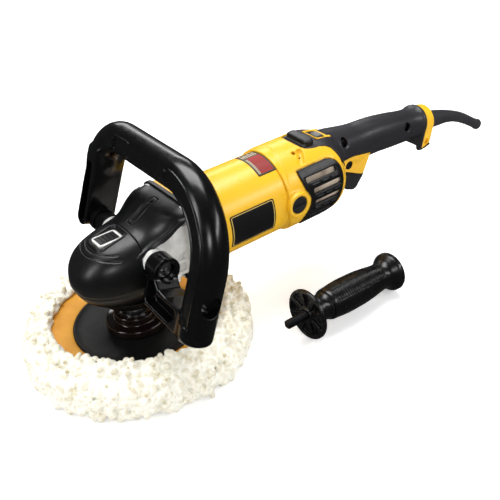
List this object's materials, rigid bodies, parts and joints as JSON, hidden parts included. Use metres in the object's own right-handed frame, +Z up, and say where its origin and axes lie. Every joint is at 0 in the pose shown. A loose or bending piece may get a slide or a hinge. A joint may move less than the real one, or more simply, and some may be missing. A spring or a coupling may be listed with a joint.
{
  "type": "rotary polisher",
  "caption": "Right-angle rotary polisher with a wool pad, a D-shaped front handle, a trigger handle at the rear and a loose side handle lying beside it.",
  "frame": {"origin": "centre of the wool pad's working face", "axes": "+Z up the spindle, +X along the motor axis towards the rear handle, -Y the tool's left side, where the lock-on button and loose side handle are"},
  "size_m": [0.6403, 0.2525, 0.2232],
  "materials": {
    "wool": "curly lambswool pile",
    "amber_foam": "satin",
    "black_rubber": "satin",
    "gloss_black": "gloss",
    "black_plastic": "satin",
    "grey_grip": "satin",
    "yellow_plastic": "satin gloss",
    "cast_alloy": "satin cast",
    "steel": "machined",
    "dark_steel": "blackened",
    "brass": "plain",
    "bronze": "sintered",
    "copper": "enamelled winding",
    "electrical_steel": "stacked sheet",
    "carbon": "matte",
    "tan_mesh": "woven lint screen",
    "label_print": "printed foil"
  },
  "bodies": {
    "tool": {"spindle_bearing_outer": "steel", "spindle_top_bush": "bronze", "bearing_plate": "cast_alloy", "bearing_plate_screws": "steel", "gear_case": "cast_alloy", "gear_case_screws": "dark_steel", "head_cover": "black_plastic", "spindle_lock_spring": "steel", "bail_handle": "gloss_black", "bail_bolts": "steel", "bail_washers": "dark_steel", "motor_housing": "yellow_plastic", "rear_housing": "yellow_plastic", "stator_core": "electrical_steel", "field_windings": "copper", "front_bearing_outer": "steel", "rear_bearing_outer": "steel", "brush_holders": "brass", "carbon_brushes": "carbon", "brush_springs": "steel", "brush_caps": "black_plastic", "vent_cover_left": "black_plastic", "vent_cover_right": "black_plastic", "vent_meshes": "tan_mesh", "name_plates": "black_plastic", "rating_label": "label_print", "handle_shell_left": "grey_grip", "handle_shell_right": "grey_grip", "handle_screws": "steel", "trigger_web": "yellow_plastic", "trigger_pin": "steel", "trigger_spring": "steel", "switch_module": "black_plastic", "dial_bezel": "yellow_plastic", "top_bumper": "black_plastic", "end_ring": "yellow_plastic", "strain_relief": "black_rubber"},
    "spindle_assembly": {"wool_pad": "wool", "backing_disc": "amber_foam", "backing_plate": "black_rubber", "backing_hub": "gloss_black", "spindle": "steel", "ring_gear": "steel", "spindle_bearing_inner": "steel"},
    "armature": {"armature_shaft": "steel", "armature_core": "electrical_steel", "armature_windings": "copper", "commutator": "copper", "pinion": "steel", "cooling_fan": "black_plastic", "motor_bearing_inners": "steel"},
    "spindle_lock": {"spindle_lock_button": "black_plastic", "spindle_lock_pin": "steel"},
    "trigger_lever": {"trigger": "black_plastic"},
    "lock_on": {"lock_on_button": "black_plastic"},
    "dial": {"speed_dial": "cast_alloy"},
    "side_handle": {"side_handle_grip": "gloss_black", "side_handle_flange": "gloss_black", "side_handle_stud": "dark_steel"}
  },
  "joints": [
    {"name": "spindle_spin", "type": "hinge", "parent": "tool", "child": "spindle_assembly", "pos_m": [0, 0, 0.115], "axis": [0, 0, 1], "continuous": true},
    {"name": "armature_spin", "type": "hinge", "parent": "tool", "child": "armature", "pos_m": [0.1, 0, 0.115], "axis": [1, 0, 0], "continuous": true},
    {"name": "spindle_lock_press", "type": "slide", "parent": "tool", "child": "spindle_lock", "axis": [0, 0, -1], "range_m": [0, 0.0032], "stiffness_N_per_m": 900, "springref_m": -0.002, "deforming": ["spindle_lock_spring"]},
    {"name": "trigger_squeeze", "type": "hinge", "parent": "tool", "child": "trigger_lever", "pos_m": [0.282, 0, 0.092], "axis": [0, -1, 0], "range_deg": [0, 9], "stiffness_Nm_per_rad": 0.6, "springref_deg": -11.46, "deforming": ["trigger_spring"]},
    {"name": "lock_on_press", "type": "slide", "parent": "tool", "child": "lock_on", "axis": [0, 1, 0], "range_m": [0, 0.0025], "stiffness_N_per_m": 300, "springref_m": -0.002},
    {"name": "speed_dial_turn", "type": "hinge", "parent": "tool", "child": "dial", "pos_m": [0.246, 0, 0.1485], "axis": [0, 1, 0], "range_deg": [-110, 110]},
    {"name": "side_handle_lift", "type": "slide", "parent": "tool", "child": "side_handle", "axis": [0, 0, 1], "range_m": [0, 0.15]}
  ],
  "couplings": [
    {"joint": "armature_spin", "follows": "spindle_spin", "ratio": 3.5}
  ]
}
